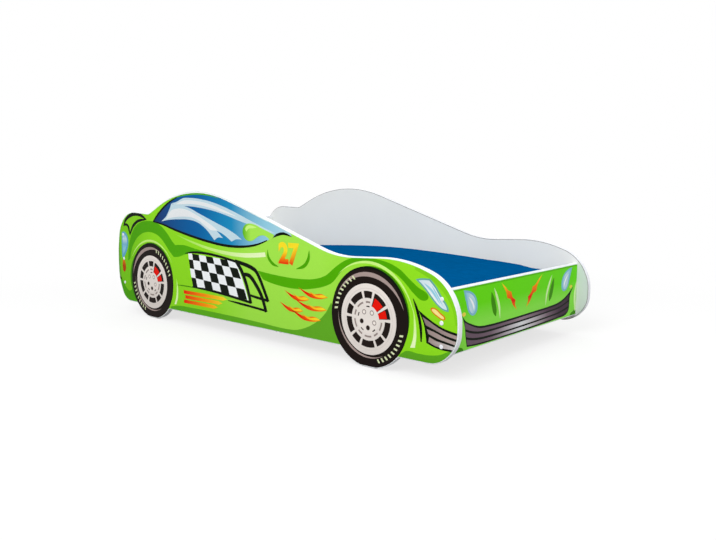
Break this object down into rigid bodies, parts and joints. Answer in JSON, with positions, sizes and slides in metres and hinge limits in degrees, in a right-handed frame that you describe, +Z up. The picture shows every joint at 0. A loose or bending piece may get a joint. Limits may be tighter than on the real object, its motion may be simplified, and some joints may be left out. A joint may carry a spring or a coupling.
{
  "type": "child's car bed",
  "caption": "Low child's bed shaped like a racing car: printed board sides with wheel-shaped feet, end panels, a lift-out slatted base and a lift-out foam mattress.",
  "frame": {"origin": "on the floor, under the middle of the bed", "axes": "+X to the nose of the car, +Y to its left side, +Z up"},
  "size_m": [1.522, 0.7554, 0.4579],
  "materials": {
    "white_board": "particle board with a satin white melamine face",
    "edge_strip": "white plastic edge strip with rounded arrises, satin",
    "printed_film": "glossy film printed with the car's picture, mostly bright green",
    "pine": "planed pine, unvarnished",
    "webbing": "off-white woven tape",
    "glide_plastic": "white moulded plastic",
    "staple_wire": "bright galvanised wire",
    "zinc_steel": "zinc-plated steel",
    "cap_plastic": "white moulded plastic",
    "beech": "plain beech",
    "foam": "pale open-cell foam",
    "piping_cloth": "blue woven piping",
    "mattress_cloth": "plain blue woven cover, matt"
  },
  "bodies": {
    "frame": {"corner_dowels": "beech", "corner_screws": "zinc_steel", "front_bottom_strip": "edge_strip", "front_left_glide": "glide_plastic", "front_panel": "white_board", "front_print_film": "printed_film", "front_right_glide": "glide_plastic", "front_top_strip": "edge_strip", "left_edge_strip": "edge_strip", "left_print_film": "printed_film", "left_rail": "pine", "left_side_panel": "white_board", "rail_screws": "zinc_steel", "rear_bottom_strip": "edge_strip", "rear_left_glide": "glide_plastic", "rear_panel": "white_board", "rear_print_film": "printed_film", "rear_right_glide": "glide_plastic", "rear_top_strip": "edge_strip", "right_edge_strip": "edge_strip", "right_print_film": "printed_film", "right_rail": "pine", "right_side_panel": "white_board", "screw_caps": "cap_plastic"},
    "slat_base": {"left_slat_tape": "webbing", "right_slat_tape": "webbing", "slat_01": "pine", "slat_02": "pine", "slat_03": "pine", "slat_04": "pine", "slat_05": "pine", "slat_06": "pine", "slat_07": "pine", "slat_08": "pine", "slat_09": "pine", "slat_10": "pine", "slat_11": "pine", "slat_12": "pine", "slat_staples": "staple_wire"},
    "mattress": {"mattress_bottom_cover": "mattress_cloth", "mattress_core": "foam", "mattress_piping": "piping_cloth", "mattress_top_cover": "mattress_cloth"}
  },
  "joints": [
    {"name": "slat_base_lift", "type": "slide", "parent": "frame", "child": "slat_base", "axis": [0, 0, 1], "range_m": [0, 0.36]},
    {"name": "mattress_lift", "type": "slide", "parent": "slat_base", "child": "mattress", "axis": [0, 0, 1], "range_m": [0, 0.36]}
  ]
}
